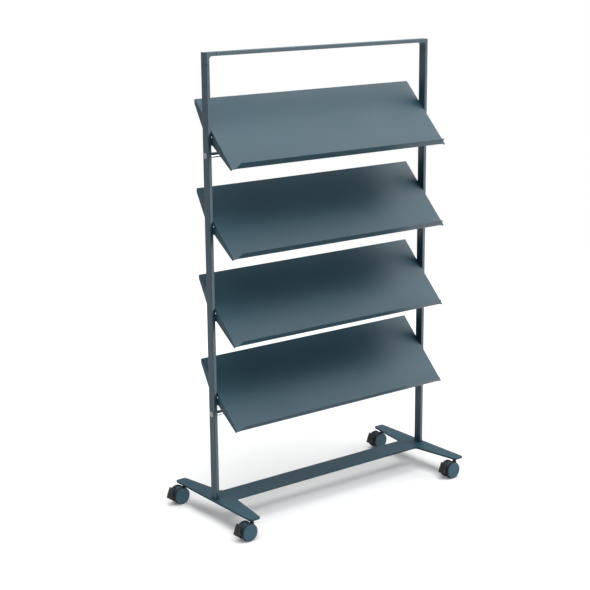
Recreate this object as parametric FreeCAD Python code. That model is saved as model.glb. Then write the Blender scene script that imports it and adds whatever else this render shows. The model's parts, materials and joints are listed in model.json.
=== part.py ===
"""Mobile periodical display rack.

A goalpost frame of rectangular tube stands on a flat H-shaped base plate with
four twin-wheel braked castors. Four folded sheet shelves are screwed between the
posts at 45 degrees, each with a front lip that holds the periodicals. Two round
tie rods brace the posts.

Frame: origin at the centre of the base plate's top face, +X to the right,
+Y to the back, +Z up. Millimetres.
"""
import FreeCAD, Part
import math
import os

V = FreeCAD.Vector
X_AXIS = V(1, 0, 0)
Y_AXIS = V(0, 1, 0)
Z_AXIS = V(0, 0, 1)

# ---------------------------------------------------------------- frame
FRAME_WIDTH = 1000.0          # over the outer faces of the posts
FRAME_HEIGHT = 1600.0         # from the base plate's top face to the top bar's top face
TUBE_THICK = 13.0             # tube across the frame's plane
TUBE_DEPTH = 34.0             # tube front to back
TUBE_WALL = 1.5
TUBE_EDGE_RADIUS = 1.5
CORNER_LEG = 40.5             # outer leg of a corner fitting, along post and bar
CORNER_INNER_RADIUS = 11.0
CORNER_OUTER_RADIUS = 2.0
CORNER_SEAM = 0.3             # shadow gap between a fitting's shoulder and the tube end
SPIGOT_LENGTH = 30.0
SPIGOT_FIT = 0.05             # all round, inside the tube
SPIGOT_LEAD = 1.5             # chamfer at the spigot's end

# ---------------------------------------------------------------- base plate
PLATE_THICK = 6.0
PLATE_EDGE_CHAMFER = 0.4
PLATE_BAR_WIDTH = 97.6
FOOT_OVERHANG = 10.5          # foot's outer edge beyond the post's outer face
FOOT_REACH = 243.5            # foot's end from the centre line, front and back
FOOT_END_WIDTH = 44.4
FOOT_ROOT_WIDTH = 75.3        # where the foot's inner edge meets the centre bar
FOOT_END_RADIUS = 12.0
FOOT_ROOT_RADIUS = 14.3

# ---------------------------------------------------------------- post feet
POST_BLOCK_HEIGHT = 30.0
POST_BLOCK_FIT = 0.05
POST_SCREW_DIAMETER = 6.0
POST_SCREW_HEAD = 12.0
POST_SCREW_HEAD_DEPTH = 3.3
POST_SCREW_SPACING = 17.0
POST_SCREW_GRIP = 20.0        # thread length inside the block
POST_SCREW_SOCKET = 4.0       # hexagon across flats
SCREW_CLEARANCE = 0.25        # radial, screw in a clearance hole
THREAD_FIT = 0.03             # radial, screw in its thread
SOCKET_SHARE = 0.65           # hexagon socket's depth, of the screw head's height
OVERRUN = 1.0                 # how far a cutting form passes the faces that it cuts

# ---------------------------------------------------------------- shelves
SHELF_COUNT = 4
SHELF_ANGLE = 45.0            # sheet above the horizontal, rising to the back
LOWEST_SHELF_HEIGHT = 424.8   # sheet's top face at the posts' centre plane
TOP_SHELF_DROP = 246.7        # the same on the top shelf, under the frame's top face
SHELF_BEHIND = 117.5          # slope length behind the posts' centre plane
SHELF_AHEAD = 191.4           # slope length in front of it
SHEET = 1.5
BEND_RADIUS = 1.0             # inside radius of every fold
SHELF_SIDE_CLEARANCE = 0.2    # end flange to post
LIP_HEIGHT = 32.0
LIP_INSET = 18.0              # lip's end from the shelf's end, at the fold
LIP_TOP_INSET = 26.5          # the same at the lip's free edge
LIP_END_RADIUS = 2.0
LIP_RELIEF = 0.6              # width of the relief cut at each end of the lip's fold
FLANGE_REAR_DROP = 14.5       # flange's rear end, a vertical cut
FLANGE_FRONT_DROP = 9.6       # flange's front end, a vertical cut
FLANGE_DEPTH = 67.0           # flange's lowest edge under the sheet's datum point
FLANGE_FOOT_BACK = 5.0        # lowest edge runs from here, behind the centre plane,
FLANGE_FOOT_FRONT = 23.0      # to here, in front of it
FLANGE_CORNER_RADIUS = 6.0

PIVOT_DEPTH = 56.0            # pivot screw under the sheet's datum point
LOCK_RADIUS = 25.0            # locking screw's distance from the pivot screw
SHELF_SCREW_DIAMETER = 5.0
SHELF_SCREW_HEAD = 9.5
SHELF_SCREW_HEAD_HEIGHT = 2.8
SHELF_SCREW_HEAD_BEVEL = 1.6
SHELF_SCREW_SOCKET = 3.0
SHELF_SCREW_REACH = 8.0       # thread length past the flange
INSERT_DIAMETER = 7.0
INSERT_LENGTH = 9.0
INSERT_BULGE_DIAMETER = 9.5
INSERT_BULGE_LENGTH = 2.4
INSERT_FIT = 0.05

# ---------------------------------------------------------------- tie rods
TIE_ROD_DIAMETER = 20.0
TIE_ROD_DROP = 102.1          # rod's axis under the sheet's datum point
TIE_ROD_FIT = 0.1             # each end to the post
TIE_ROD_EDGE = 0.8
TIE_BOLT_DIAMETER = 8.0
TIE_BOLT_HEAD = 20.0
TIE_BOLT_HEAD_HEIGHT = 3.2
TIE_BOLT_HEAD_BEVEL = 0.7
TIE_BOLT_SOCKET = 6.0
TIE_BOLT_SOCKET_DEPTH = 2.2
TIE_BOLT_GRIP = 18.0          # thread length inside the rod
TIE_BOLT_BOTTOM = 4.0         # tapped depth past the bolt's end

# ---------------------------------------------------------------- castors
CASTOR_INSET_X = 13.5         # stem from the post's outer face
CASTOR_INSET_Y = 25.5         # stem from the foot's end
CASTOR_HEIGHT = 75.6          # floor to the plate's underside
CASTOR_TRAIL = 23.4           # axle behind the stem
WHEEL_DIAMETER = 65.0
CASTOR_WIDTH = 47.0           # over both wheels' outer faces
WHEEL_WIDTH = 15.0
DISC_SETBACK = 2.0            # wheel's outer disc, its edge under the tread
DISC_EDGE = 2.0               # disc's thickness at its edge
DISC_EDGE_BEVEL = 1.4
DISC_WEB = 2.6
TYRE_WIDTH = 12.0
TYRE_THICK = 4.0
TYRE_BEVEL = 1.2              # at both shoulders of the tread
TYRE_FIT = 0.03
RIM_THICK = 2.6
HUB_DIAMETER = 13.0
HUB_RIBS = 6
HUB_RIB_THICK = 1.6
HUB_RIB_RECESS = 1.5          # ribs stand back from the rim's edge
AXLE_DIAMETER = 6.0
AXLE_RUNNING_FIT = 0.05       # radial, axle in the wheel
AXLE_PRESS_FIT = 0.01         # radial, axle in the housing
AXLE_END_CLEARANCE = 0.3
WHEEL_SIDE_CLEARANCE = 0.5    # housing to wheel
HOOD_SETBACK = 2.0            # housing's crown under the tread
HOUSING_SKIRT = 9.0           # housing's lower edge under the axle
NECK_DIAMETER = 15.5
NECK_GAP = 0.4                # neck's top to the stem's collar
STEM_COLLAR_DIAMETER = 14.0
STEM_COLLAR_HEIGHT = 15.0
STEM_THREAD_DIAMETER = 10.0
STEM_THREAD_LENGTH = 5.0      # in a blind tapped hole, so the plate's top stays plain
STEM_PIN_DIAMETER = 8.0
STEM_PIN_LENGTH = 42.0
STEM_RUNNING_FIT = 0.05
STEM_END_CLEARANCE = 0.5

# brake lever, measured from the axle: u is along +X, w is up
LEVER_PIN_U = -16.0
LEVER_PIN_W = 18.0
LEVER_PIN_DIAMETER = 4.0
LEVER_PIN_FIT = 0.05
LEVER_PIN_PRESS_FIT = 0.01
LEVER_WIDTH = 28.0
LEVER_THICK = 3.4
LEVER_TOP_U = -33.0
LEVER_TOP_W = 33.5
LEVER_TIP_U = -48.0
LEVER_TIP_W = -4.6
LEVER_BULGE = 1.0             # outward bow of the pedal's face
LEVER_ARM_WIDTH = 6.0
LEVER_ARM_RADIUS = 4.0
LEVER_ARM_CLEARANCE = 0.4
LEVER_TRAVEL = 12.0           # degrees, pressed down to brake
SHOE_WIDTH = 4.0
SHOE_HEIGHT = 11.0
SHOE_SETBACK = 14.3           # shoe's upper end, up the pedal from its tip
SHOE_GAP = 1.0                # shoe to tread at the end of the travel

# ---------------------------------------------------------------- derived sizes
POST_OUTER_X = FRAME_WIDTH / 2
POST_INNER_X = POST_OUTER_X - TUBE_THICK
POST_CENTRE_X = POST_OUTER_X - TUBE_THICK / 2
FOOT_OUTER_X = POST_OUTER_X + FOOT_OVERHANG
SHELF_HALF = POST_INNER_X - SHELF_SIDE_CLEARANCE
SLOPE = V(0, math.cos(math.radians(SHELF_ANGLE)), math.sin(math.radians(SHELF_ANGLE)))
NORMAL = V(0, -SLOPE.z, SLOPE.y)
BEND_OUTER = BEND_RADIUS + SHEET
FOLD_DEPTH = BEND_OUTER + SHEET / 2   # sheet taken up by a fold, from its outside
TOP_SHELF_HEIGHT = FRAME_HEIGHT - TOP_SHELF_DROP
SHELF_PITCH = (TOP_SHELF_HEIGHT - LOWEST_SHELF_HEIGHT) / (SHELF_COUNT - 1)
SHELF_HEIGHTS = [TOP_SHELF_HEIGHT - SHELF_PITCH * i for i in range(SHELF_COUNT)]
FLOOR_Z = -PLATE_THICK - CASTOR_HEIGHT
STEM_X = POST_OUTER_X - CASTOR_INSET_X
STEM_Y = FOOT_REACH - CASTOR_INSET_Y
WHEEL_RADIUS = WHEEL_DIAMETER / 2
WHEEL_INNER_Y = CASTOR_WIDTH / 2 - WHEEL_WIDTH
HOUSING_HALF = WHEEL_INNER_Y - WHEEL_SIDE_CLEARANCE
TYRE_SEAT_RADIUS = WHEEL_RADIUS - TYRE_THICK
DISC_RADIUS = WHEEL_RADIUS - DISC_SETBACK
HOOD_RADIUS = WHEEL_RADIUS - HOOD_SETBACK
NECK_TOP = CASTOR_HEIGHT - STEM_COLLAR_HEIGHT - NECK_GAP


# ---------------------------------------------------------------- helpers
def save(name, shape):
    """Write one node."""
    shape.exportStep(os.path.join("parts", name + ".step"))


def box(x0, x1, y0, y1, z0, z1):
    return Part.makeBox(x1 - x0, y1 - y0, z1 - z0, V(x0, y0, z0))


def rod(radius, start, direction, length):
    return Part.makeCylinder(radius, length, start, direction)


def rounded_wire(corners, place):
    """Closed wire through (u, v, radius) corners; place turns (u, v) into a point."""
    count = len(corners)
    starts = []
    ends = []
    middles = []
    for i, (u, v, radius) in enumerate(corners):
        corner = V(u, v, 0)
        before = V(corners[i - 1][0], corners[i - 1][1], 0) - corner
        after = V(corners[(i + 1) % count][0], corners[(i + 1) % count][1], 0) - corner
        before.normalize()
        after.normalize()
        half = before.getAngle(after) / 2
        setback = radius / math.tan(half)
        bisector = before + after
        bisector.normalize()
        starts.append(corner + before * setback)
        ends.append(corner + after * setback)
        middles.append(corner + bisector * (radius / math.sin(half) - radius))
    edges = []
    for i in range(count):
        if corners[i][2] > 0:
            arc = Part.Arc(
                place(starts[i].x, starts[i].y),
                place(middles[i].x, middles[i].y),
                place(ends[i].x, ends[i].y),
            )
            edges.append(arc.toShape())
        end = ends[i]
        follow = starts[(i + 1) % count]
        if (follow - end).Length > 1e-6:
            edges.append(Part.LineSegment(place(end.x, end.y), place(follow.x, follow.y)).toShape())
    return Part.Wire(edges)


def prism(corners, place, direction):
    """Solid made by pushing a rounded outline along a direction."""
    return Part.Face(rounded_wire(corners, place)).extrude(direction)


def in_plan(u, v):
    """Outline point on the base plate's top plane."""
    return V(u, v, 0)


def hexagon(across_flats, centre, direction, depth):
    """Hexagonal prism for a socket."""
    radius = across_flats / math.sqrt(3)
    side = Y_AXIS if abs(direction.y) < 0.5 else X_AXIS
    other = direction.cross(side)
    corners = [
        centre + side * (radius * math.cos(k * math.pi / 3)) + other * (radius * math.sin(k * math.pi / 3))
        for k in range(6)
    ]
    outline = Part.makePolygon(corners + corners[:1])
    return Part.Face(outline).extrude(direction * depth)


def mirrored_x(shape):
    return shape.mirror(V(0, 0, 0), X_AXIS)


def moved(shape, offset):
    copy = shape.copy()
    copy.translate(offset)
    return copy


# ---------------------------------------------------------------- base plate
def foot_corners():
    """Outline corners of one quarter of the plate, in +x +y, from the bar to the foot's end."""
    root_x = FOOT_OUTER_X - FOOT_ROOT_WIDTH
    end_x = FOOT_OUTER_X - FOOT_END_WIDTH
    return [
        (root_x, PLATE_BAR_WIDTH / 2, FOOT_ROOT_RADIUS),
        (end_x, FOOT_REACH, FOOT_END_RADIUS),
        (FOOT_OUTER_X, FOOT_REACH, FOOT_END_RADIUS),
    ]


def base_plate():
    quarter = foot_corners()
    outline = quarter
    outline = outline + [(x, -y, r) for x, y, r in reversed(quarter)]
    outline = outline + [(-x, -y, r) for x, y, r in quarter]
    outline = outline + [(-x, y, r) for x, y, r in reversed(quarter)]
    plate = prism(outline, lambda u, v: V(u, v, -PLATE_THICK), Z_AXIS * PLATE_THICK)
    rims = [e for e in plate.Edges if abs(e.BoundBox.ZMin) < 1e-6 and abs(e.BoundBox.ZMax) < 1e-6]
    plate = plate.makeChamfer(PLATE_EDGE_CHAMFER, rims)
    for x in (-POST_CENTRE_X, POST_CENTRE_X):
        for y in (-POST_SCREW_SPACING / 2, POST_SCREW_SPACING / 2):
            plate = plate.cut(countersunk_form(x, y, SCREW_CLEARANCE, PLATE_THICK))
    for x, y in castor_places():
        hole = rod(STEM_THREAD_DIAMETER / 2 + THREAD_FIT, V(x, y, -PLATE_THICK), Z_AXIS, STEM_THREAD_LENGTH)
        plate = plate.cut(hole)
    return plate


def countersunk_form(x, y, clearance, shank_length):
    """Countersunk screw's outer form, head flush with the plate's underside."""
    head_radius = POST_SCREW_HEAD / 2 + clearance
    shank_radius = POST_SCREW_DIAMETER / 2 + clearance
    foot = V(x, y, -PLATE_THICK)
    cone = Part.makeCone(head_radius, shank_radius, POST_SCREW_HEAD_DEPTH, foot, Z_AXIS)
    return cone.fuse(rod(shank_radius, foot, Z_AXIS, shank_length)).removeSplitter()


def post_screws():
    screws = []
    length = PLATE_THICK + POST_SCREW_GRIP
    for x in (-POST_CENTRE_X, POST_CENTRE_X):
        for y in (-POST_SCREW_SPACING / 2, POST_SCREW_SPACING / 2):
            screw = countersunk_form(x, y, 0, length)
            socket_depth = POST_SCREW_HEAD_DEPTH * SOCKET_SHARE
            socket = hexagon(POST_SCREW_SOCKET, V(x, y, -PLATE_THICK), Z_AXIS, socket_depth)
            screws.append(screw.cut(socket))
    return Part.makeCompound(screws)


# ---------------------------------------------------------------- goalpost frame
def tube_section(x0, x1, inset):
    """Rounded rectangle across a post, in plan, shrunk by inset."""
    half = TUBE_DEPTH / 2 - inset
    radius = max(TUBE_EDGE_RADIUS - inset, 0)
    return [
        (x0 + inset, -half, radius),
        (x1 - inset, -half, radius),
        (x1 - inset, half, radius),
        (x0 + inset, half, radius),
    ]


def right_post():
    top = FRAME_HEIGHT - CORNER_LEG - CORNER_SEAM
    outer = prism(tube_section(POST_INNER_X, POST_OUTER_X, 0), in_plan, Z_AXIS * top)
    inner = prism(tube_section(POST_INNER_X, POST_OUTER_X, TUBE_WALL), in_plan, Z_AXIS * top)
    post = outer.cut(inner)
    for z in tie_rod_heights():
        hole = rod(TIE_BOLT_DIAMETER / 2 + SCREW_CLEARANCE, V(POST_INNER_X, 0, z), X_AXIS, TUBE_THICK)
        post = post.cut(hole)
    for y, z in shelf_screw_places():
        hole = rod(INSERT_DIAMETER / 2 + INSERT_FIT, V(POST_INNER_X, y, z), X_AXIS, TUBE_WALL)
        post = post.cut(hole)
    return post


def post_block():
    """Threaded block in the right post's foot."""
    inset = TUBE_WALL + POST_BLOCK_FIT
    block = prism(tube_section(POST_INNER_X, POST_OUTER_X, inset), in_plan, Z_AXIS * POST_BLOCK_HEIGHT)
    for y in (-POST_SCREW_SPACING / 2, POST_SCREW_SPACING / 2):
        radius = POST_SCREW_DIAMETER / 2 + THREAD_FIT
        block = block.cut(rod(radius, V(POST_CENTRE_X, y, 0), Z_AXIS, POST_BLOCK_HEIGHT))
    return block


def top_bar():
    half_length = POST_OUTER_X - CORNER_LEG - CORNER_SEAM

    def place(u, v):
        return V(-half_length, v, u)

    low = FRAME_HEIGHT - TUBE_THICK
    outer = prism(tube_section(low, FRAME_HEIGHT, 0), place, X_AXIS * (2 * half_length))
    inner = prism(tube_section(low, FRAME_HEIGHT, TUBE_WALL), place, X_AXIS * (2 * half_length))
    return outer.cut(inner)


def right_corner_fitting():
    """Corner with a rounded inner angle and a spigot into each tube."""
    shoulder_x = POST_OUTER_X - CORNER_LEG
    shoulder_z = FRAME_HEIGHT - CORNER_LEG
    under = FRAME_HEIGHT - TUBE_THICK
    outline = [
        (shoulder_x, FRAME_HEIGHT, 0),
        (POST_OUTER_X, FRAME_HEIGHT, CORNER_OUTER_RADIUS),
        (POST_OUTER_X, shoulder_z, 0),
        (POST_INNER_X, shoulder_z, 0),
        (POST_INNER_X, under, CORNER_INNER_RADIUS),
        (shoulder_x, under, 0),
    ]
    corner = prism(outline, lambda u, v: V(u, -TUBE_DEPTH / 2, v), Y_AXIS * TUBE_DEPTH)
    long_edges = []
    for edge in corner.Edges:
        bounds = edge.BoundBox
        flat = bounds.YLength < 1e-6
        on_shoulder = bounds.XMax < shoulder_x + 1e-6 or bounds.ZMax < shoulder_z + 1e-6
        if flat and not on_shoulder:
            long_edges.append(edge)
    corner = corner.makeFillet(TUBE_EDGE_RADIUS, long_edges)
    inset = TUBE_WALL + SPIGOT_FIT
    lower = prism(
        tube_section(POST_INNER_X, POST_OUTER_X, inset),
        lambda u, v: V(u, v, shoulder_z - SPIGOT_LENGTH),
        Z_AXIS * (SPIGOT_LENGTH + TUBE_THICK),
    )
    side = prism(
        tube_section(under, FRAME_HEIGHT, inset),
        lambda u, v: V(shoulder_x - SPIGOT_LENGTH, v, u),
        X_AXIS * (SPIGOT_LENGTH + TUBE_THICK),
    )
    lower = lower.makeChamfer(SPIGOT_LEAD, end_edges(lower, V(0, 0, -1)))
    side = side.makeChamfer(SPIGOT_LEAD, end_edges(side, V(-1, 0, 0)))
    return corner.fuse(lower).fuse(side).removeSplitter()


def end_edges(shape, direction):
    """Edges of the flat face that looks along a direction."""
    for face in shape.Faces:
        if face.normalAt(0, 0).dot(direction) > 0.999:
            return face.Edges
    return []


# ---------------------------------------------------------------- shelves
def flange_outline(headroom):
    """Side outline of an end flange as (y, z) corners from the sheet's datum point."""
    rear_y = SHELF_BEHIND * SLOPE.y
    rear_z = SHELF_BEHIND * SLOPE.z
    front_y = -SHELF_AHEAD * SLOPE.y
    front_z = -SHELF_AHEAD * SLOPE.z
    return [
        (rear_y, rear_z + headroom, 0),
        (rear_y, rear_z - FLANGE_REAR_DROP, 0),
        (FLANGE_FOOT_BACK, -FLANGE_DEPTH, FLANGE_CORNER_RADIUS),
        (-FLANGE_FOOT_FRONT, -FLANGE_DEPTH, FLANGE_CORNER_RADIUS),
        (front_y, front_z - FLANGE_FRONT_DROP, 0),
        (front_y, front_z + headroom, 0),
    ]


def shelf_screw_places():
    """Pivot and locking screw of every shelf as (y, z)."""
    places = []
    for height in SHELF_HEIGHTS:
        places.append((0.0, height - PIVOT_DEPTH))
        places.append((0.0, height - PIVOT_DEPTH + LOCK_RADIUS))
    return places


def tie_rod_heights():
    return [SHELF_HEIGHTS[0] - TIE_ROD_DROP, SHELF_HEIGHTS[-1] - TIE_ROD_DROP]


def spare_hole_place():
    """Hole that takes the locking screw when the shelf hangs level."""
    turn = math.radians(SHELF_ANGLE)
    return (-LOCK_RADIUS * math.sin(turn), -PIVOT_DEPTH + LOCK_RADIUS * math.cos(turn))


def shelf():
    """Shelf with its datum point at the origin: the sheet's top face at the posts' centre plane."""
    start = SLOPE * -SHELF_AHEAD
    run = SHELF_AHEAD + SHELF_BEHIND
    depth = 2 * FLANGE_DEPTH

    def across(u, v):
        return start + X_AXIS * u + NORMAL * v

    # channel section across the shelf, run along the slope, then trimmed to the flange's outline
    channel = prism(
        [
            (-SHELF_HALF, -depth, 0),
            (-SHELF_HALF, 0, BEND_OUTER),
            (SHELF_HALF, 0, BEND_OUTER),
            (SHELF_HALF, -depth, 0),
            (SHELF_HALF - SHEET, -depth, 0),
            (SHELF_HALF - SHEET, -SHEET, BEND_RADIUS),
            (-SHELF_HALF + SHEET, -SHEET, BEND_RADIUS),
            (-SHELF_HALF + SHEET, -depth, 0),
        ],
        across,
        SLOPE * run,
    )
    far_end = SHELF_HALF + OVERRUN
    side_form = prism(flange_outline(SHEET), lambda u, v: V(-far_end, u, v), X_AXIS * (2 * far_end))
    body = channel.common(side_form).cut(fold_strip()).fuse(front_lip()).removeSplitter()
    y, z = spare_hole_place()
    radius = SHELF_SCREW_DIAMETER / 2 + SCREW_CLEARANCE
    for hole_y, hole_z in ((0, -PIVOT_DEPTH), (0, -PIVOT_DEPTH + LOCK_RADIUS), (y, z)):
        body = body.cut(rod(radius, V(-far_end, hole_y, hole_z), X_AXIS, 2 * far_end))
    return body


def fold_strip():
    """Strip of flat sheet that the lip's fold replaces, with a relief cut at each end."""
    fold = SLOPE * -SHELF_AHEAD
    half = SHELF_HALF - LIP_INSET + LIP_RELIEF
    corners = [(-half, -2 * SHEET, 0), (half, -2 * SHEET, 0), (half, SHEET, 0), (-half, SHEET, 0)]

    def across(u, v):
        return fold + V(u, 0, 0) + SLOPE * -SHEET + NORMAL * v

    return prism(corners, across, SLOPE * (SHEET + FOLD_DEPTH))


def front_lip():
    """Lip folded up from the sheet's front edge, its ends sloping in to the free edge."""
    fold = SLOPE * -SHELF_AHEAD
    half_fold = SHELF_HALF - LIP_INSET
    half_top = SHELF_HALF - LIP_TOP_INSET

    def section(u, v):
        return fold + V(-SHELF_HALF, 0, 0) + SLOPE * u + NORMAL * v

    # the fold's outside is the sheet's underside, so the lip rises from the sheet's top face
    profile = prism(
        [
            (FOLD_DEPTH, -SHEET, 0),
            (FOLD_DEPTH, 0, 0),
            (SHEET, 0, BEND_RADIUS),
            (SHEET, LIP_HEIGHT, 0),
            (0, LIP_HEIGHT, 0),
            (0, -SHEET, BEND_OUTER),
        ],
        section,
        X_AXIS * (2 * SHELF_HALF),
    )
    face_form = prism(
        [
            (-half_fold, -BEND_OUTER - SHEET, 0),
            (half_fold, -BEND_OUTER - SHEET, 0),
            (half_fold, BEND_OUTER, 0),
            (half_top, LIP_HEIGHT, LIP_END_RADIUS),
            (-half_top, LIP_HEIGHT, LIP_END_RADIUS),
            (-half_fold, BEND_OUTER, 0),
        ],
        lambda u, v: fold + V(u, 0, 0) + SLOPE * -SHEET + NORMAL * v,
        SLOPE * (SHEET + FOLD_DEPTH),
    )
    return profile.common(face_form)


def shelf_screw():
    """Low-headed screw along +X, its head's seat at the origin."""
    head = rod(SHELF_SCREW_HEAD / 2, V(-SHELF_SCREW_HEAD_HEIGHT, 0, 0), X_AXIS, SHELF_SCREW_HEAD_HEIGHT)
    rim = [e for e in head.Edges if e.BoundBox.XMax < -SHELF_SCREW_HEAD_HEIGHT + 1e-6]
    head = head.makeChamfer(SHELF_SCREW_HEAD_BEVEL, rim)
    length = SHEET + SHELF_SIDE_CLEARANCE + SHELF_SCREW_REACH
    screw = head.fuse(rod(SHELF_SCREW_DIAMETER / 2, V(0, 0, 0), X_AXIS, length))
    socket_depth = SHELF_SCREW_HEAD_HEIGHT * SOCKET_SHARE
    socket = hexagon(SHELF_SCREW_SOCKET, V(-SHELF_SCREW_HEAD_HEIGHT, 0, 0), X_AXIS, socket_depth)
    return screw.cut(socket).removeSplitter()


def shelf_insert():
    """Threaded insert along +X, flush with the post's inner face, its bulge behind the wall."""
    body = rod(INSERT_DIAMETER / 2, V(0, 0, 0), X_AXIS, INSERT_LENGTH)
    bulge = rod(INSERT_BULGE_DIAMETER / 2, V(TUBE_WALL, 0, 0), X_AXIS, INSERT_BULGE_LENGTH)
    bore = rod(SHELF_SCREW_DIAMETER / 2 + THREAD_FIT, V(0, 0, 0), X_AXIS, INSERT_LENGTH)
    return body.fuse(bulge).cut(bore).removeSplitter()


def both_sides(piece, x, places):
    """Copies of a +X piece at x and, mirrored, at -x, for every (y, z) place."""
    copies = []
    for y, z in places:
        right = moved(piece, V(x, y, z))
        copies.append(right)
        copies.append(mirrored_x(right))
    return Part.makeCompound(copies)


# ---------------------------------------------------------------- tie rods
def tie_rod(height):
    half = POST_INNER_X - TIE_ROD_FIT
    bar = rod(TIE_ROD_DIAMETER / 2, V(-half, 0, height), X_AXIS, 2 * half)
    bar = bar.makeChamfer(TIE_ROD_EDGE, [e for e in bar.Edges if e.BoundBox.XLength < 1e-6])
    tapped = TIE_BOLT_GRIP + TIE_BOLT_BOTTOM
    for x, way in ((-half, X_AXIS), (half, X_AXIS * -1)):
        bar = bar.cut(rod(TIE_BOLT_DIAMETER / 2 + THREAD_FIT, V(x, 0, height), way, tapped))
    return bar


def tie_bolt():
    """Low-headed bolt along -X, its head's seat at the origin."""
    head = rod(TIE_BOLT_HEAD / 2, V(0, 0, 0), X_AXIS, TIE_BOLT_HEAD_HEIGHT)
    rim = [e for e in head.Edges if e.BoundBox.XMin > TIE_BOLT_HEAD_HEIGHT - 1e-6]
    head = head.makeChamfer(TIE_BOLT_HEAD_BEVEL, rim)
    length = TUBE_THICK + TIE_ROD_FIT + TIE_BOLT_GRIP
    bolt = head.fuse(rod(TIE_BOLT_DIAMETER / 2, V(0, 0, 0), X_AXIS * -1, length))
    socket = hexagon(TIE_BOLT_SOCKET, V(TIE_BOLT_HEAD_HEIGHT, 0, 0), X_AXIS * -1, TIE_BOLT_SOCKET_DEPTH)
    return bolt.cut(socket).removeSplitter()


# ---------------------------------------------------------------- castors
# A castor is modelled with its stem's axis on Z, the floor at z = 0 and the wheels trailing to -X.
def castor_places():
    return [(x, y) for x in (-STEM_X, STEM_X) for y in (-STEM_Y, STEM_Y)]


def castor_stem():
    under_plate = V(0, 0, CASTOR_HEIGHT)
    thread = rod(STEM_THREAD_DIAMETER / 2, under_plate, Z_AXIS, STEM_THREAD_LENGTH)
    collar = rod(STEM_COLLAR_DIAMETER / 2, under_plate, Z_AXIS * -1, STEM_COLLAR_HEIGHT)
    pin = rod(STEM_PIN_DIAMETER / 2, under_plate, Z_AXIS * -1, STEM_PIN_LENGTH)
    return thread.fuse(collar).fuse(pin).removeSplitter()


def castor_housing():
    """Hood between the wheels with the stem's neck in front and a fork for the brake lever."""
    axle_z = WHEEL_RADIUS
    skirt_z = axle_z - HOUSING_SKIRT
    hood = rod(HOOD_RADIUS, V(-CASTOR_TRAIL, -HOUSING_HALF, axle_z), Y_AXIS, 2 * HOUSING_HALF)
    front = box(-CASTOR_TRAIL, 0, -HOUSING_HALF, HOUSING_HALF, skirt_z, axle_z + HOUSING_SKIRT)
    neck = rod(NECK_DIAMETER / 2, V(0, 0, skirt_z), Z_AXIS, NECK_TOP - skirt_z)
    below = box(
        -CASTOR_TRAIL - HOOD_RADIUS - OVERRUN,
        NECK_DIAMETER,
        -HOUSING_HALF - OVERRUN,
        HOUSING_HALF + OVERRUN,
        axle_z - HOOD_RADIUS - OVERRUN,
        skirt_z,
    )
    body = hood.fuse(front).fuse(neck).cut(below).removeSplitter()
    pin_x = LEVER_PIN_U - CASTOR_TRAIL
    pin_z = LEVER_PIN_W + axle_z
    slot_half = LEVER_ARM_WIDTH / 2 + LEVER_ARM_CLEARANCE
    slot_reach = LEVER_ARM_RADIUS + 2 * LEVER_ARM_CLEARANCE
    slot = box(
        pin_x - HOOD_RADIUS,
        pin_x + slot_reach,
        -slot_half,
        slot_half,
        pin_z - slot_reach,
        pin_z + HOOD_RADIUS,
    )
    body = body.cut(slot)
    for diameter, fit, x, z in (
        (AXLE_DIAMETER, AXLE_PRESS_FIT, -CASTOR_TRAIL, axle_z),
        (LEVER_PIN_DIAMETER, LEVER_PIN_PRESS_FIT, pin_x, pin_z),
    ):
        body = body.cut(rod(diameter / 2 + fit, V(x, -HOUSING_HALF, z), Y_AXIS, 2 * HOUSING_HALF))
    bore_bottom = CASTOR_HEIGHT - STEM_PIN_LENGTH - STEM_END_CLEARANCE
    bore_radius = STEM_PIN_DIAMETER / 2 + STEM_RUNNING_FIT
    return body.cut(rod(bore_radius, V(0, 0, bore_bottom), Z_AXIS, NECK_TOP - bore_bottom))


def castor_axle():
    half = CASTOR_WIDTH / 2 - DISC_WEB - AXLE_END_CLEARANCE
    return rod(AXLE_DIAMETER / 2, V(-CASTOR_TRAIL, -half, WHEEL_RADIUS), Y_AXIS, 2 * half)


def castor_lever_pin():
    centre = V(LEVER_PIN_U - CASTOR_TRAIL, -HOUSING_HALF, LEVER_PIN_W + WHEEL_RADIUS)
    return rod(LEVER_PIN_DIAMETER / 2, centre, Y_AXIS, 2 * HOUSING_HALF)


def revolved(profile):
    """Turn (radius, depth) corners about the axle; depth runs inward from the wheel's outer face."""
    outer_y = CASTOR_WIDTH / 2
    wire = rounded_wire(profile, lambda u, v: V(u, outer_y - v, 0))
    solid = Part.Face(wire).revolve(V(0, 0, 0), Y_AXIS, 360)
    solid.translate(V(-CASTOR_TRAIL, 0, WHEEL_RADIUS))
    return solid


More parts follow.
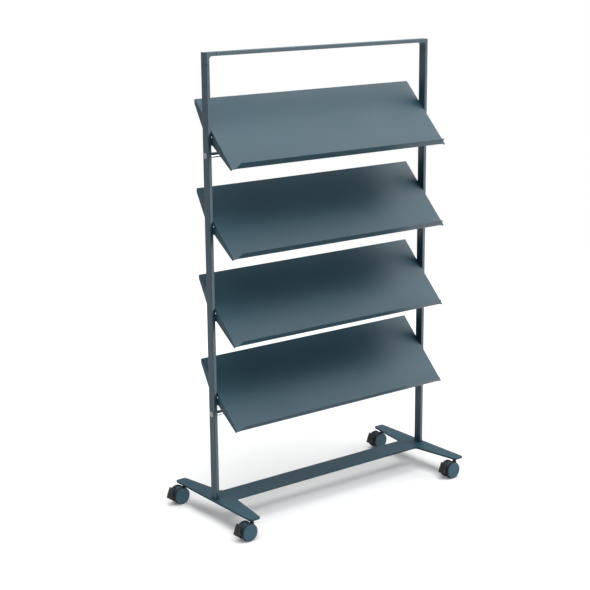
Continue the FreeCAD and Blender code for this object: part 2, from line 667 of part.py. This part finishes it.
def wheel_hub():
    """Wheel on the +Y side: plain outer disc, rim for the tyre, ribbed hub inside."""
    seat = TYRE_SEAT_RADIUS - TYRE_FIT
    rim_inner = seat - RIM_THICK
    rim_end = DISC_EDGE + TYRE_WIDTH
    bore = AXLE_DIAMETER / 2 + AXLE_RUNNING_FIT
    profile = [
        (0, 0, 0),
        (DISC_RADIUS - DISC_EDGE_BEVEL, 0, 0),
        (DISC_RADIUS, DISC_EDGE_BEVEL, 0),
        (DISC_RADIUS, DISC_EDGE, 0),
        (seat, DISC_EDGE, 0),
        (seat, rim_end, 0),
        (rim_inner, rim_end, 0),
        (rim_inner, DISC_WEB, 0),
        (HUB_DIAMETER / 2, DISC_WEB, 0),
        (HUB_DIAMETER / 2, WHEEL_WIDTH, 0),
        (bore, WHEEL_WIDTH, 0),
        (bore, DISC_WEB, 0),
        (0, DISC_WEB, 0),
    ]
    hub = revolved(profile)
    centre = V(-CASTOR_TRAIL, 0, WHEEL_RADIUS)
    rib_outer = rim_inner + RIM_THICK / 2
    rib_inner = (bore + HUB_DIAMETER / 2) / 2
    y_far = CASTOR_WIDTH / 2 - DISC_WEB / 2
    y_near = CASTOR_WIDTH / 2 - rim_end + HUB_RIB_RECESS
    for k in range(HUB_RIBS):
        rib = box(rib_inner, rib_outer, y_near, y_far, -HUB_RIB_THICK / 2, HUB_RIB_THICK / 2)
        rib.rotate(V(0, 0, 0), Y_AXIS, 360.0 * k / HUB_RIBS)
        rib.translate(centre)
        hub = hub.fuse(rib)
    return hub.removeSplitter()


def wheel_tyre():
    seat = TYRE_SEAT_RADIUS
    return revolved(
        [
            (seat, DISC_EDGE, 0),
            (WHEEL_RADIUS - TYRE_BEVEL, DISC_EDGE, 0),
            (WHEEL_RADIUS, DISC_EDGE + TYRE_BEVEL, 0),
            (WHEEL_RADIUS, DISC_EDGE + TYRE_WIDTH - TYRE_BEVEL, 0),
            (WHEEL_RADIUS - TYRE_BEVEL, DISC_EDGE + TYRE_WIDTH, 0),
            (seat, DISC_EDGE + TYRE_WIDTH, 0),
        ]
    )


def brake_lever():
    """Pedal with a bowed face, an arm into the housing's fork and two shoes facing the tyres."""
    axle = V(-CASTOR_TRAIL, 0, WHEEL_RADIUS)

    def at(u, y, w):
        return axle + V(u, y, w)

    top = V(LEVER_TOP_U, 0, LEVER_TOP_W)
    tip = V(LEVER_TIP_U, 0, LEVER_TIP_W)
    along = (tip - top).normalize()
    inward = V(-along.z, 0, along.x)
    if inward.x < 0:
        inward = inward * -1
    half = LEVER_WIDTH / 2
    middle = (top + tip) * 0.5 - inward * LEVER_BULGE
    inner_top = top + inward * LEVER_THICK
    inner_tip = tip + inward * LEVER_THICK
    inner_middle = middle + inward * LEVER_THICK

    def edge_point(point):
        return at(point.x, -half, point.z)

    face = Part.Arc(edge_point(top), edge_point(middle), edge_point(tip)).toShape()
    back = Part.Arc(edge_point(inner_tip), edge_point(inner_middle), edge_point(inner_top)).toShape()
    low = Part.LineSegment(edge_point(tip), edge_point(inner_tip)).toShape()
    high = Part.LineSegment(edge_point(inner_top), edge_point(top)).toShape()
    pedal = Part.Face(Part.Wire([face, low, back, high])).extrude(Y_AXIS * LEVER_WIDTH)

    # arm: from the pedal's top to a round eye on the pin
    pin = V(LEVER_PIN_U, 0, LEVER_PIN_W)
    to_pedal = (inner_top - pin).normalize()
    across = V(-to_pedal.z, 0, to_pedal.x)
    reach = top + inward * (LEVER_THICK / 2)
    arm_half = LEVER_ARM_WIDTH / 2
    arm_corners = [
        pin + across * LEVER_ARM_RADIUS,
        pin - across * LEVER_ARM_RADIUS,
        reach,
        reach + along * (2 * LEVER_ARM_RADIUS),
    ]
    arm_points = [at(p.x, -arm_half, p.z) for p in arm_corners]
    arm = Part.Face(Part.makePolygon(arm_points + arm_points[:1])).extrude(Y_AXIS * LEVER_ARM_WIDTH)
    eye = rod(LEVER_ARM_RADIUS, at(pin.x, -arm_half, pin.z), Y_AXIS, LEVER_ARM_WIDTH)

    # shoes: their faces match the tread when the pedal is down
    shoe_start = tip + inward * (LEVER_THICK / 2) - along * SHOE_SETBACK
    shoe_depth = inward * (WHEEL_RADIUS / 2)
    shoe_corners = [
        shoe_start,
        shoe_start + along * SHOE_HEIGHT,
        shoe_start + along * SHOE_HEIGHT + shoe_depth,
        shoe_start + shoe_depth,
    ]
    tread = rod(WHEEL_RADIUS + SHOE_GAP, axle - Y_AXIS * CASTOR_WIDTH, Y_AXIS, 2 * CASTOR_WIDTH)
    tread.rotate(at(pin.x, 0, pin.z), Y_AXIS, LEVER_TRAVEL)
    lever = pedal.fuse(arm).fuse(eye)
    for side in (-1, 1):
        centre_y = side * (half - SHOE_WIDTH / 2)
        points = [at(p.x, centre_y - SHOE_WIDTH / 2, p.z) for p in shoe_corners]
        shoe = Part.Face(Part.makePolygon(points + points[:1])).extrude(Y_AXIS * SHOE_WIDTH)
        lever = lever.fuse(shoe.cut(tread))
    bore = rod(LEVER_PIN_DIAMETER / 2 + LEVER_PIN_FIT, at(pin.x, -arm_half, pin.z), Y_AXIS, LEVER_ARM_WIDTH)
    return lever.removeSplitter().cut(bore)


def save_castors():
    hub = wheel_hub()
    tyre = wheel_tyre()
    pieces = {
        "stem": castor_stem(),
        "housing": castor_housing(),
        "axle": castor_axle(),
        "lever_pin": castor_lever_pin(),
        "brake_lever": brake_lever(),
        "rear_hub": hub,
        "rear_tyre": tyre,
        "front_hub": hub.mirror(V(0, 0, 0), Y_AXIS),
        "front_tyre": tyre.mirror(V(0, 0, 0), Y_AXIS),
    }
    for x, y in castor_places():
        place = ("front" if y < 0 else "rear") + "_" + ("left" if x < 0 else "right")
        for name, shape in pieces.items():
            save("castor_" + place + "_" + name, moved(shape, V(x, y, FLOOR_Z)))


def main():
    os.makedirs("parts", exist_ok=True)
    save("base_plate", base_plate())
    save("post_screws", post_screws())
    post = right_post()
    save("right_post", post)
    save("left_post", mirrored_x(post))
    block = post_block()
    save("right_post_block", block)
    save("left_post_block", mirrored_x(block))
    fitting = right_corner_fitting()
    save("right_corner_fitting", fitting)
    save("left_corner_fitting", mirrored_x(fitting))
    save("top_bar", top_bar())

    one_shelf = shelf()
    for i, height in enumerate(SHELF_HEIGHTS):
        save("shelf_" + str(i + 1), moved(one_shelf, Z_AXIS * height))
    screw_x = SHELF_HALF - SHEET
    save("shelf_screws", both_sides(shelf_screw(), screw_x, shelf_screw_places()))
    save("shelf_inserts", both_sides(shelf_insert(), POST_INNER_X, shelf_screw_places()))

    upper, lower = tie_rod_heights()
    save("upper_tie_rod", tie_rod(upper))
    save("lower_tie_rod", tie_rod(lower))
    save("tie_rod_bolts", both_sides(tie_bolt(), POST_OUTER_X, [(0, upper), (0, lower)]))

    save_castors()


main()
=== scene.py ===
"""Periodical display rack: finishes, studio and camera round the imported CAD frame."""
import json
import math

import bpy
from mathutils import Matrix, Vector


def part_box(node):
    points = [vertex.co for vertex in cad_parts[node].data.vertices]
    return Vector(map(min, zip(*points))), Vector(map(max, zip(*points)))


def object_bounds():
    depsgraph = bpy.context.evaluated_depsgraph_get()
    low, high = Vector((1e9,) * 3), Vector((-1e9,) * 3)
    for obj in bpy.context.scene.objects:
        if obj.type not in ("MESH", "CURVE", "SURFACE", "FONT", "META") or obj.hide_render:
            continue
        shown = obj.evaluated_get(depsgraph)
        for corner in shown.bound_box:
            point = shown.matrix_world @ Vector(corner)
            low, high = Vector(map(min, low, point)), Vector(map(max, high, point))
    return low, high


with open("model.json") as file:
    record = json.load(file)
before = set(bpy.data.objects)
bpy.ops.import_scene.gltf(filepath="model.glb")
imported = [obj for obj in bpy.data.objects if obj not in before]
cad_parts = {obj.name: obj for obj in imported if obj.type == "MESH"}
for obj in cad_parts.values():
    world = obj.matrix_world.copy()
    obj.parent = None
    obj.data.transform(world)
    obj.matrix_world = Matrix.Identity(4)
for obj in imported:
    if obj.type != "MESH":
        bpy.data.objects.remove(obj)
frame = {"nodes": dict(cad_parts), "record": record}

CAD_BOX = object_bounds()

# ---------------------------------------------------------------- colours, as seen (sRGB, 0 to 255)
BLACK = (0, 0, 0)
WHITE = (255, 255, 255)
COAT = (58, 94, 109)
COAT_EDGE_HIGHLIGHT = (84, 118, 132)       # painted highlight on sharp edges
CASTOR_BLUE = (69, 112, 131)
LEVER_GREY = (66, 66, 63)
BLACK_STEEL = (24, 27, 31)
TREAD = (62, 62, 66)
DUST = (150, 145, 140)
ROD = (196, 198, 200)
ZINC = (138, 146, 150)
DULL_METAL = (90, 92, 95)

# ---------------------------------------------------------------- texture
NOISE_BULK = (0.3, 0.7)          # range that holds most of a noise's values
NOISE_CORE = (0.35, 0.65)        # its middle, for more contrast
EDGE_TURN = (0.99, 0.8)          # cosine of the rounding's turn, where the painted edge highlight starts and is full
BEVEL_SAMPLES = 6
ALONG_X = (0.02, 1.0, 1.0)       # stretches marks along X, as the rods are drawn
ROUND_X = (1.0, 0.5, 0.5)        # stretches marks round X, as the bolts are turned

# ---------------------------------------------------------------- seams of the corner fittings, with painted shade, metres
BAR_SEAM = ("X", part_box("top_bar")[1][0])      # axis, and the distance from the origin along it
POST_SEAM = ("Z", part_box("left_post")[1][2])
SEAM_WIDTH = 0.0012              # of the dark line of painted shade, which fades over half as much again each side
SEAM_SHADE_DEPTH = 0.75             # share of black in the painted seam shade

# ---------------------------------------------------------------- camera, solved from the photograph
CAMERA_PLACE = Vector((-3.17192, -4.03308, 1.95936))
CAMERA_YAW = 0.64723             # turned from +Y towards +X
CAMERA_PITCH = 0.24371           # down
CAMERA_ROLL = -0.00880
CAMERA_CLIP = (0.1, 400.0)
FOCAL_PIXELS = 1422.88
IMAGE_PIXELS = 590
SENSOR_WIDTH = 36.0

# ---------------------------------------------------------------- studio
SKY_LEVEL = (0.03, 0.03, 0.03)   # sky's light on the object
SKY_SHOWN = (1.0, 1.0, 1.0)      # sky to the camera and in gloss
FLOOR_HEIGHT = CAD_BOX[0][2]
FLOOR_DROP = 0.0002              # keeps the floor just clear of the tyres
FLOOR_SIZE = 240.0
FLOOR_SHOWN = 0.95               # floor's brightness to the camera and in gloss, under its own lights
FLOOR_BOUNCE = 0.05              # floor's brightness to the object, under the same lights
FLOOR_FADE = (2.6, 5.0)          # metres from the object over which the floor turns plain white

# Each light: name, direction towards it, level, spread in degrees.
# Level 1 shows a white face that looks at the light as white.
RACK_LIGHTS = (
    ("overhead_right", (0.45, -0.20, 0.87), 0.45, 70.0),
    ("overhead_left", (-0.35, -0.20, 0.92), 0.30, 50.0),
    ("gleam", (0.60, -0.22, 0.75), 0.15, 30.0),
)
LOW_RACK_LIGHTS = (
    ("front", (0.60, -0.76, -0.22), 0.31, 22.0),
    ("back", (0.30, 0.90, -0.30), 0.32, 40.0),
)
FLOOR_LIGHTS = (
    ("floor_dome", (0.0, -0.10, 1.0), 0.15, 165.0),
    ("floor_overhead", (0.0, -0.25, 0.97), 0.55, 45.0),
    ("floor_back", (0.0, 0.30, 0.95), 0.33, 40.0),
    ("floor_left", (-0.50, -0.85, 0.20), 0.89, 60.0),
    ("floor_right", (0.70, -0.70, 0.10), 0.78, 60.0),
)


# ---------------------------------------------------------------- material helpers
def linear(colour):
    """sRGB 0-255 to linear RGBA."""
    values = []
    for channel in colour:
        c = channel / 255
        values.append(c / 12.92 if c <= 0.04045 else ((c + 0.055) / 1.055) ** 2.4)
    return (*values, 1.0)


def blend_colour(a, b, share):
    """Colour a with that share of b in it."""
    return tuple(x + (y - x) * share for x, y in zip(a, b))


class Finish:
    """A node material with a Principled shader and short ways to add detail to it."""

    def __init__(self, name):
        self.material = bpy.data.materials.new(name)
        self.material.use_nodes = True
        self.tree = self.material.node_tree
        self.nodes = self.tree.nodes
        self.shader = self.nodes["Principled BSDF"]
        self.place = self.nodes.new("ShaderNodeTexCoord").outputs["Object"]

    def link(self, out, socket):
        self.tree.links.new(out, socket)

    def drive(self, name, out):
        """Link an output to the shader's input of that name."""
        self.link(out, self.shader.inputs[name])

    def set(self, **values):
        """Set the shader's inputs; an underscore in a name stands for a space."""
        for name, value in values.items():
            self.shader.inputs[name.replace("_", " ")].default_value = value

    def noise(self, scale, detail=2.0, roughness=0.5, stretch=(1, 1, 1)):
        """Noise value with features of about 1/scale metres."""
        mapping = self.nodes.new("ShaderNodeMapping")
        mapping.inputs["Scale"].default_value = stretch
        self.link(self.place, mapping.inputs["Vector"])
        texture = self.nodes.new("ShaderNodeTexNoise")
        texture.inputs["Scale"].default_value = scale
        texture.inputs["Detail"].default_value = detail
        texture.inputs["Roughness"].default_value = roughness
        self.link(mapping.outputs["Vector"], texture.inputs["Vector"])
        return texture.outputs["Fac"]

    def span(self, value, source, result=(0.0, 1.0)):
        """Remap a value from the source range to the result range, clamped."""
        node = self.nodes.new("ShaderNodeMapRange")
        node.inputs["From Min"].default_value, node.inputs["From Max"].default_value = source
        node.inputs["To Min"].default_value, node.inputs["To Max"].default_value = result
        self.link(value, node.inputs["Value"])
        return node.outputs["Result"]

    def math(self, operation, *values):
        """Math node on one or two values, each a number or an output."""
        node = self.nodes.new("ShaderNodeMath")
        node.operation = operation
        for socket, value in zip(node.inputs, values):
            if isinstance(value, (int, float)):
                socket.default_value = value
            else:
                self.link(value, socket)
        return node.outputs["Value"]

    def mix(self, factor, a, b):
        """Colour mix; a and b are sRGB colours or outputs."""
        node = self.nodes.new("ShaderNodeMix")
        node.data_type = "RGBA"
        self.link(factor, node.inputs["Factor"])
        for name, value in (("A", a), ("B", b)):
            socket = [s for s in node.inputs if s.name == name and s.type == "RGBA"][0]
            if isinstance(value, tuple):
                socket.default_value = linear(value)
            else:
                self.link(value, socket)
        return [s for s in node.outputs if s.type == "RGBA"][0]

    def edges(self, radius):
        """Rounded normal, and a mask that rises to 1 on edges sharper than the radius."""
        bevel = self.nodes.new("ShaderNodeBevel")
        bevel.samples = BEVEL_SAMPLES
        bevel.inputs["Radius"].default_value = radius
        geometry = self.nodes.new("ShaderNodeNewGeometry")
        dot = self.nodes.new("ShaderNodeVectorMath")
        dot.operation = "DOT_PRODUCT"
        self.link(bevel.outputs["Normal"], dot.inputs[0])
        self.link(geometry.outputs["Normal"], dot.inputs[1])
        return bevel.outputs["Normal"], self.span(dot.outputs["Value"], EDGE_TURN)

    def seam(self, axis, distance):
        """Mask of 1 on the seams at that distance from the origin, on both sides, along an axis, where
        shade is painted.
        """
        split = self.nodes.new("ShaderNodeSeparateXYZ")
        self.link(self.place, split.inputs["Vector"])
        away = self.math("SUBTRACT", self.math("ABSOLUTE", split.outputs[axis]), distance)
        return self.span(self.math("ABSOLUTE", away), (SEAM_WIDTH / 2, SEAM_WIDTH), (1.0, 0.0))

    def bump(self, height, distance, strength, normal=None):
        """Normal bumped by a texture, whose white stands that distance in metres over its black."""
        node = self.nodes.new("ShaderNodeBump")
        node.inputs["Distance"].default_value = distance
        node.inputs["Strength"].default_value = strength
        self.link(height, node.inputs["Height"])
        if normal is not None:
            self.link(normal, node.inputs["Normal"])
        return node.outputs["Normal"]


# ---------------------------------------------------------------- materials
def powder_coat(name, gloss, seams=()):
    """Satin powder coat: fine orange peel, faint clouds, painted edge highlights, painted seam shade.
    """
    finish = Finish(name)
    finish.set(Metallic=0.0, IOR=1.5, Specular_IOR_Level=gloss)
    cloud = finish.noise(scale=7.0, detail=4.0, roughness=0.55)
    fine = finish.noise(scale=260.0, detail=3.0, roughness=0.6)
    rounded, edge = finish.edges(radius=0.0008)
    darker = blend_colour(COAT, BLACK, share=0.012)
    lighter = blend_colour(COAT, WHITE, share=0.008)
    base = finish.mix(finish.span(cloud, NOISE_CORE), darker, lighter)
    speck = finish.mix(finish.span(fine, (0.62, 0.78), (0.0, 0.35)), base, lighter)
    # Painted highlight on sharp edges, made patchy by a noise.
    highlight_patches = finish.span(finish.noise(scale=45.0), NOISE_BULK, (0.25, 0.75))
    coat = finish.mix(finish.math("MULTIPLY", edge, highlight_patches), speck, COAT_EDGE_HIGHLIGHT)
    # Painted shade along the seams of the corner fittings.
    dark = blend_colour(COAT, BLACK, SEAM_SHADE_DEPTH)
    for axis, distance in seams:
        coat = finish.mix(finish.seam(axis, distance), coat, dark)
    finish.drive("Base Color", coat)
    cloudy_sheen = finish.span(cloud, NOISE_BULK, (0.40, 0.47))
    fine_sheen = finish.span(fine, NOISE_BULK, (-0.03, 0.03))
    finish.drive("Roughness", finish.math("ADD", cloudy_sheen, fine_sheen))
    peel = finish.noise(scale=620.0, roughness=0.45)
    finish.drive("Normal", finish.bump(peel, distance=0.00006, strength=0.35, normal=rounded))
    return finish.material


def moulded_plastic(name, colour, roughness, gloss, grain=900.0):
    """Moulded plastic with a fine spark-eroded grain, faint flow marks and painted edge highlights."""
    finish = Finish(name)
    finish.set(Metallic=0.0, IOR=1.48, Specular_IOR_Level=gloss)
    flow = finish.noise(scale=60.0, detail=3.0, stretch=(1.0, 1.0, 0.35))
    rounded, edge = finish.edges(radius=0.0006)
    dark = blend_colour(colour, BLACK, share=0.06)
    light = blend_colour(colour, WHITE, share=0.04)
    # Painted highlight on sharp edges, made patchy by a noise.
    plastic_edge_highlight = blend_colour(colour, WHITE, share=0.16)
    base = finish.mix(finish.span(flow, NOISE_CORE), dark, light)
    highlight_patches = finish.span(finish.noise(scale=180.0), (0.35, 0.7), (0.1, 0.7))
    finish.drive("Base Color", finish.mix(finish.math("MULTIPLY", edge, highlight_patches), base, plastic_edge_highlight))
    sheen = (roughness - 0.04, roughness + 0.05)
    finish.drive("Roughness", finish.span(flow, NOISE_BULK, sheen))
    skin = finish.noise(scale=grain)
    finish.drive("Normal", finish.bump(skin, distance=0.00005, strength=0.4, normal=rounded))
    return finish.material


def tread_rubber(name):
    """Soft tread with a dusty bloom and fine scuffs across its running face."""
    finish = Finish(name)
    finish.set(Metallic=0.0, IOR=1.45, Specular_IOR_Level=0.3)
    dust = finish.noise(scale=110.0, detail=5.0, roughness=0.65)
    scuff = finish.noise(scale=420.0, detail=3.0, stretch=(1.0, 0.25, 1.0))
    bloom = blend_colour(TREAD, DUST, share=0.22)
    dusty = finish.span(dust, (0.45, 0.75), (0.0, 0.8))
    finish.drive("Base Color", finish.mix(dusty, TREAD, bloom))
    finish.drive("Roughness", finish.span(scuff, NOISE_BULK, (0.62, 0.85)))
    finish.drive("Normal", finish.bump(scuff, distance=0.00008, strength=0.5))
    return finish.material


def bare_metal(name, colour, roughness, streak, depth):
    """Bare or plated metal with fine drawn or turned marks, which streak stretches, and painted edge
    highlights.
    """
    finish = Finish(name)
    finish.set(Metallic=1.0)
    lines = finish.noise(scale=900.0, detail=4.0, roughness=0.6, stretch=streak)
    smear = finish.noise(scale=35.0, detail=3.0)
    rounded, edge = finish.edges(radius=0.0005)
    dull = blend_colour(colour, DULL_METAL, share=0.18)
    # Painted highlight on sharp edges, made patchy by a noise.
    metal_edge_highlight = blend_colour(colour, WHITE, share=0.35)
    base = finish.mix(finish.span(smear, (0.35, 0.7)), colour, dull)
    highlight_patches = finish.span(smear, NOISE_BULK, (0.4, 0.8))
    finish.drive("Base Color", finish.mix(finish.math("MULTIPLY", edge, highlight_patches), base, metal_edge_highlight))
    streaked = finish.span(lines, NOISE_BULK, (roughness - 0.05, roughness + 0.06))
    smeared = finish.span(smear, NOISE_BULK, (0.0, 0.06))
    finish.drive("Roughness", finish.math("ADD", streaked, smeared))
    finish.drive("Normal", finish.bump(lines, distance=0.00002, strength=depth, normal=rounded))
    return finish.material


# ---------------------------------------------------------------- finishes on the CAD nodes
# Gloss is the shader's Specular IOR Level. The stems' black coat is a plastic's, with a finer grain.
FINISHES = {
    "powder_coat": powder_coat("satin_powder_coat", gloss=0.35),
    "base_plate": powder_coat("matt_powder_coat", gloss=0.08),
    "tube": powder_coat("tube_powder_coat", gloss=0.45, seams=(BAR_SEAM, POST_SEAM)),
    "castor_plastic": moulded_plastic("castor_plastic", CASTOR_BLUE, roughness=0.5, gloss=0.2),
    "lever_plastic": moulded_plastic("lever_plastic", LEVER_GREY, roughness=0.55, gloss=0.2),
    "tread_rubber": tread_rubber("tread_rubber"),
    "polished_rod": bare_metal("polished_rod", ROD, roughness=0.16, streak=ALONG_X, depth=0.10),
    "zinc_steel": bare_metal("zinc_steel", ZINC, roughness=0.36, streak=ROUND_X, depth=0.25),
    "black_steel": moulded_plastic(
        "black_steel", BLACK_STEEL, roughness=0.34, gloss=0.4, grain=1500.0
    ),
}
TUBE_NODES = (
    "left_post", "right_post", "top_bar", "left_corner_fitting", "right_corner_fitting",
)


def dress_cad_nodes():
    """Give each CAD node its own finish, or else that of its record slot."""
    for entry in frame["record"]["subparts"]:
        node = frame["nodes"][entry["node"]]
        kind = "tube" if entry["node"] in TUBE_NODES else entry["node"]
        finish = FINISHES.get(kind, FINISHES[entry["material_slot"]])
        node.data.materials.clear()
        node.data.materials.append(finish)


# ---------------------------------------------------------------- studio
def rays_that_see_white(tree):
    """1 for camera, glossy and transmission rays, which see white; 0 for light on the object."""
    path = tree.nodes.new("ShaderNodeLightPath")
    sees = path.outputs["Is Camera Ray"]
    for name in ("Is Glossy Ray", "Is Transmission Ray"):
        either = tree.nodes.new("ShaderNodeMath")
        either.operation = "MAXIMUM"
        tree.links.new(sees, either.inputs[0])
        tree.links.new(path.outputs[name], either.inputs[1])
        sees = either.outputs["Value"]
    return sees


def background(tree, colour):
    """Background shader of one colour, at strength 1."""
    node = tree.nodes.new("ShaderNodeBackground")
    node.inputs["Color"].default_value = (*colour, 1.0)
    node.inputs["Strength"].default_value = 1.0
    return node.outputs["Background"]


def mix_shaders(tree, factor, first, second):
    """The first shader where the factor is 0, the second where it is 1."""
    mix = tree.nodes.new("ShaderNodeMixShader")
    tree.links.new(factor, mix.inputs["Fac"])
    tree.links.new(first, mix.inputs[1])
    tree.links.new(second, mix.inputs[2])
    return mix.outputs["Shader"]


def build_world():
    """Dim sky for the light on the object, plain white for the rays that see the background."""
    world = bpy.data.worlds.new("studio")
    bpy.context.scene.world = world
    world.use_nodes = True
    tree = world.node_tree
    tree.nodes.clear()
    lit, shown = background(tree, SKY_LEVEL), background(tree, SKY_SHOWN)
    surface = mix_shaders(tree, rays_that_see_white(tree), lit, shown)
    tree.links.new(surface, tree.nodes.new("ShaderNodeOutputWorld").inputs["Surface"])


def floor_material():
    """Pale matt floor that turns plain white far from the object."""
    material = bpy.data.materials.new("studio_floor")
    material.use_nodes = True
    tree = material.node_tree
    nodes = tree.nodes
    nodes.clear()
    seen = rays_that_see_white(tree)
    level = nodes.new("ShaderNodeMapRange")
    level.inputs["To Min"].default_value = FLOOR_BOUNCE
    level.inputs["To Max"].default_value = FLOOR_SHOWN
    tree.links.new(seen, level.inputs["Value"])
    lit = nodes.new("ShaderNodeBsdfDiffuse")
    tree.links.new(level.outputs["Result"], lit.inputs["Color"])
    white = nodes.new("ShaderNodeEmission")
    white.inputs["Strength"].default_value = 1.0
    place = nodes.new("ShaderNodeTexCoord")
    length = nodes.new("ShaderNodeVectorMath")
    length.operation = "LENGTH"
    tree.links.new(place.outputs["Object"], length.inputs[0])
    far = nodes.new("ShaderNodeMapRange")
    far.interpolation_type = "SMOOTHSTEP"
    far.inputs["From Min"].default_value, far.inputs["From Max"].default_value = FLOOR_FADE
    tree.links.new(length.outputs["Value"], far.inputs["Value"])
    fade = nodes.new("ShaderNodeMath")
    fade.operation = "MULTIPLY"
    tree.links.new(far.outputs["Result"], fade.inputs[0])
    tree.links.new(seen, fade.inputs[1])
    surface = mix_shaders(
        tree, fade.outputs["Value"], lit.outputs["BSDF"], white.outputs["Emission"]
    )
    tree.links.new(surface, nodes.new("ShaderNodeOutputMaterial").inputs["Surface"])
    return material


def build_floor():
    """Flat floor under the tyres, wide enough to reach the horizon."""
    half = FLOOR_SIZE / 2
    mesh = bpy.data.meshes.new("studio_floor")
    corners = [(-half, -half, 0), (half, -half, 0), (half, half, 0), (-half, half, 0)]
    mesh.from_pydata(corners, [], [(0, 1, 2, 3)])
    floor = bpy.data.objects.new("studio_floor", mesh)
    floor.location = (0, 0, FLOOR_HEIGHT - FLOOR_DROP)
    mesh.materials.append(floor_material())
    bpy.context.scene.collection.objects.link(floor)
    return floor


def soft_sun(name, towards, level, spread, receivers, blockers=None):
    """Wide soft light on the receivers, shadowed by the blockers, or by all where none are given."""
    data = bpy.data.lights.new(name, "SUN")
    data.energy = level * math.pi
    data.angle = math.radians(spread)
    lamp = bpy.data.objects.new(name, data)
    lamp.rotation_euler = Vector(towards).to_track_quat("Z", "Y").to_euler()
    lamp.light_linking.receiver_collection = receivers
    lamp.light_linking.blocker_collection = blockers
    bpy.context.scene.collection.objects.link(lamp)


def build_lights(floor):
    """One set of soft lights for the object, and one for the floor, which keeps its shadow.

    The low lights on the object point up from under the horizon, and the floor doesn't block them.
    """
    rack = bpy.data.collections.new("all_but_floor")
    rack.objects.link(floor)
    rack.collection_objects[0].light_linking.link_state = "EXCLUDE"
    for light in RACK_LIGHTS:
        soft_sun(*light, rack)
    for light in LOW_RACK_LIGHTS:
        soft_sun(*light, rack, blockers=rack)
    ground = bpy.data.collections.new("floor_alone")
    ground.objects.link(floor)
    for light in FLOOR_LIGHTS:
        soft_sun(*light, ground)


# ---------------------------------------------------------------- camera
def build_camera():
    """Camera with the solved place, direction and lens; the roll turns it about its line of sight."""
    sin_yaw, cos_yaw = math.sin(CAMERA_YAW), math.cos(CAMERA_YAW)
    sin_pitch, cos_pitch = math.sin(CAMERA_PITCH), math.cos(CAMERA_PITCH)
    forward = Vector((sin_yaw * cos_pitch, cos_yaw * cos_pitch, -sin_pitch))
    level_right = Vector((cos_yaw, -sin_yaw, 0))
    level_up = level_right.cross(forward)
    right = level_right * math.cos(CAMERA_ROLL) + level_up * math.sin(CAMERA_ROLL)
    up = level_up * math.cos(CAMERA_ROLL) - level_right * math.sin(CAMERA_ROLL)
    turn = Matrix((right, up, -forward)).transposed().to_4x4()
    data = bpy.data.cameras.new("camera")
    data.sensor_fit = "HORIZONTAL"
    data.sensor_width = SENSOR_WIDTH
    data.lens = FOCAL_PIXELS / IMAGE_PIXELS * SENSOR_WIDTH
    data.clip_start, data.clip_end = CAMERA_CLIP
    camera = bpy.data.objects.new("camera", data)
    camera.matrix_world = Matrix.Translation(CAMERA_PLACE) @ turn
    bpy.context.scene.collection.objects.link(camera)
    bpy.context.scene.camera = camera


dress_cad_nodes()
build_world()
build_lights(build_floor())
build_camera()
bpy.context.scene.view_settings.view_transform = "Standard"
